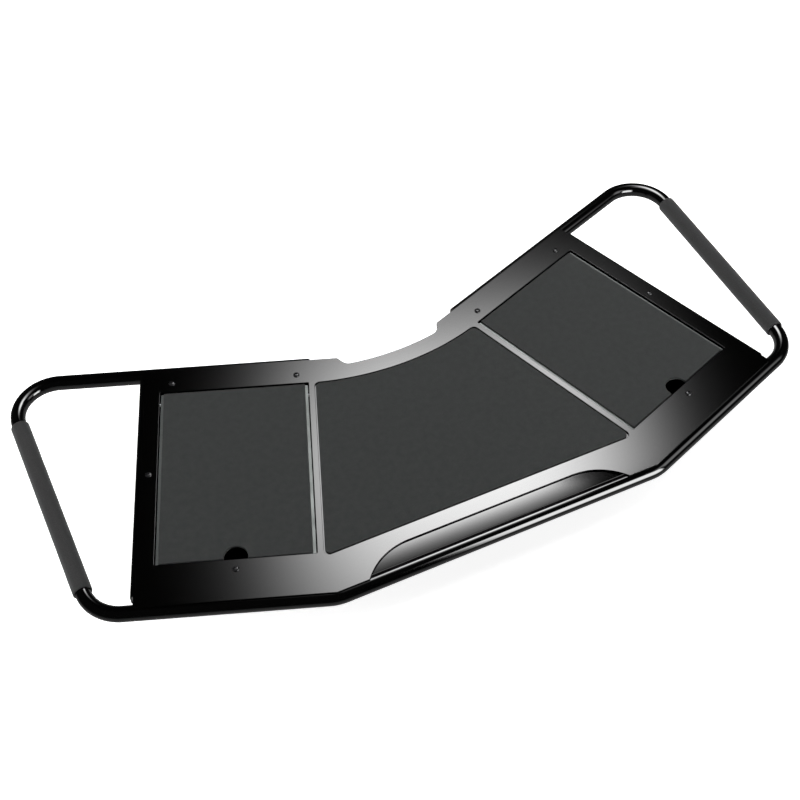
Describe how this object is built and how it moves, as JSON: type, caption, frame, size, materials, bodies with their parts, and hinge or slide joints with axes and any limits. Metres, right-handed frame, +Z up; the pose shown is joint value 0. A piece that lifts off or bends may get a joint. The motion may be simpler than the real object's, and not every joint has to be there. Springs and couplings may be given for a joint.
{
  "type": "mechanics creeper",
  "caption": "Low rolling mechanic's creeper: chevron sheet-steel deck on a bent tube with foam-sleeved side handles, centre mat, lidded tool trays and swivel casters.",
  "frame": {"origin": "on the floor, under the middle of the bounding box", "axes": "+X along the deck's length to the right, +Y to the concave back edge, +Z up"},
  "size_m": [1.0264, 0.5, 0.0923],
  "materials": {
    "tube_paint": "gloss",
    "deck_paint": "satin",
    "trough_paint": "gloss",
    "lid_metal": "satin",
    "pad_fabric": "matte",
    "grip_foam": "matte",
    "plug_plastic": "matte",
    "screw_steel": "satin",
    "zinc_steel": "zinc plated",
    "wheel_rubber": "matte",
    "bumper_rubber": "matte"
  },
  "bodies": {
    "chassis": {"caster_stem_inner_front_left": "zinc_steel", "caster_stem_inner_front_right": "zinc_steel", "caster_stem_outer_back_left": "zinc_steel", "caster_stem_outer_back_right": "zinc_steel", "caster_stem_outer_front_left": "zinc_steel", "caster_stem_outer_front_right": "zinc_steel", "centre_mat": "pad_fabric", "centre_panel": "deck_paint", "deck": "deck_paint", "deck_screw_back_inner_left": "screw_steel", "deck_screw_back_inner_right": "screw_steel", "deck_screw_back_outer_left": "screw_steel", "deck_screw_back_outer_right": "screw_steel", "deck_screw_front_left": "screw_steel", "deck_screw_front_right": "screw_steel", "deck_screw_outer_left": "screw_steel", "deck_screw_outer_right": "screw_steel", "foam_grip_left": "grip_foam", "foam_grip_right": "grip_foam", "frame_tube": "tube_paint", "front_trough": "trough_paint", "lid_bumper_inner_left": "bumper_rubber", "lid_bumper_inner_right": "bumper_rubber", "lid_bumper_outer_left": "bumper_rubber", "lid_bumper_outer_right": "bumper_rubber", "stem_nut_inner_front_left": "zinc_steel", "stem_nut_inner_front_right": "zinc_steel", "stem_nut_outer_back_left": "zinc_steel", "stem_nut_outer_back_right": "zinc_steel", "stem_nut_outer_front_left": "zinc_steel", "stem_nut_outer_front_right": "zinc_steel", "tray_left": "deck_paint", "tray_right": "deck_paint", "tube_plug_left": "plug_plastic", "tube_plug_right": "plug_plastic"},
    "lid_left": {"lid_panel_left": "lid_metal", "lid_pad_left": "pad_fabric", "lid_rod_left": "zinc_steel"},
    "lid_right": {"lid_panel_right": "lid_metal", "lid_pad_right": "pad_fabric", "lid_rod_right": "zinc_steel"},
    "swivel_inner_front_left": {"caster_fork_inner_front_left": "zinc_steel", "caster_axle_inner_front_left": "zinc_steel"},
    "wheel_inner_front_left": {"caster_wheel_inner_front_left": "wheel_rubber"},
    "swivel_outer_front_left": {"caster_fork_outer_front_left": "zinc_steel", "caster_axle_outer_front_left": "zinc_steel"},
    "wheel_outer_front_left": {"caster_wheel_outer_front_left": "wheel_rubber"},
    "swivel_outer_back_left": {"caster_fork_outer_back_left": "zinc_steel", "caster_axle_outer_back_left": "zinc_steel"},
    "wheel_outer_back_left": {"caster_wheel_outer_back_left": "wheel_rubber"},
    "swivel_inner_front_right": {"caster_fork_inner_front_right": "zinc_steel", "caster_axle_inner_front_right": "zinc_steel"},
    "wheel_inner_front_right": {"caster_wheel_inner_front_right": "wheel_rubber"},
    "swivel_outer_front_right": {"caster_fork_outer_front_right": "zinc_steel", "caster_axle_outer_front_right": "zinc_steel"},
    "wheel_outer_front_right": {"caster_wheel_outer_front_right": "wheel_rubber"},
    "swivel_outer_back_right": {"caster_fork_outer_back_right": "zinc_steel", "caster_axle_outer_back_right": "zinc_steel"},
    "wheel_outer_back_right": {"caster_wheel_outer_back_right": "wheel_rubber"}
  },
  "joints": [
    {"name": "lid_left_hinge", "type": "hinge", "parent": "chassis", "child": "lid_left", "pos_m": [-0.22717, 0.1004, 0.0828], "axis": [-0.9375, 0.3479, 0], "range_deg": [0, 105]},
    {"name": "lid_right_hinge", "type": "hinge", "parent": "chassis", "child": "lid_right", "pos_m": [0.22717, 0.1004, 0.0828], "axis": [-0.9375, -0.3479, 0], "range_deg": [0, 105]},
    {"name": "caster_inner_front_left_swivel", "type": "hinge", "parent": "chassis", "child": "swivel_inner_front_left", "pos_m": [-0.24006, -0.14014, 0.062], "axis": [0, 0, 1], "continuous": true},
    {"name": "caster_inner_front_left_wheel", "type": "hinge", "parent": "swivel_inner_front_left", "child": "wheel_inner_front_left", "pos_m": [-0.24006, -0.12214, 0.025], "axis": [1, 0, 0], "continuous": true},
    {"name": "caster_outer_front_left_swivel", "type": "hinge", "parent": "chassis", "child": "swivel_outer_front_left", "pos_m": [-0.37413, -0.09039, 0.062], "axis": [0, 0, 1], "continuous": true},
    {"name": "caster_outer_front_left_wheel", "type": "hinge", "parent": "swivel_outer_front_left", "child": "wheel_outer_front_left", "pos_m": [-0.37413, -0.07239, 0.025], "axis": [1, 0, 0], "continuous": true},
    {"name": "caster_outer_back_left_swivel", "type": "hinge", "parent": "chassis", "child": "swivel_outer_back_left", "pos_m": [-0.29863, 0.11306, 0.062], "axis": [0, 0, 1], "continuous": true},
    {"name": "caster_outer_back_left_wheel", "type": "hinge", "parent": "swivel_outer_back_left", "child": "wheel_outer_back_left", "pos_m": [-0.29863, 0.13106, 0.025], "axis": [1, 0, 0], "continuous": true},
    {"name": "caster_inner_front_right_swivel", "type": "hinge", "parent": "chassis", "child": "swivel_inner_front_right", "pos_m": [0.24006, -0.14014, 0.062], "axis": [0, 0, 1], "continuous": true},
    {"name": "caster_inner_front_right_wheel", "type": "hinge", "parent": "swivel_inner_front_right", "child": "wheel_inner_front_right", "pos_m": [0.24006, -0.12214, 0.025], "axis": [1, 0, 0], "continuous": true},
    {"name": "caster_outer_front_right_swivel", "type": "hinge", "parent": "chassis", "child": "swivel_outer_front_right", "pos_m": [0.37413, -0.09039, 0.062], "axis": [0, 0, 1], "continuous": true},
    {"name": "caster_outer_front_right_wheel", "type": "hinge", "parent": "swivel_outer_front_right", "child": "wheel_outer_front_right", "pos_m": [0.37413, -0.07239, 0.025], "axis": [1, 0, 0], "continuous": true},
    {"name": "caster_outer_back_right_swivel", "type": "hinge", "parent": "chassis", "child": "swivel_outer_back_right", "pos_m": [0.29863, 0.11306, 0.062], "axis": [0, 0, 1], "continuous": true},
    {"name": "caster_outer_back_right_wheel", "type": "hinge", "parent": "swivel_outer_back_right", "child": "wheel_outer_back_right", "pos_m": [0.29863, 0.13106, 0.025], "axis": [1, 0, 0], "continuous": true}
  ]
}
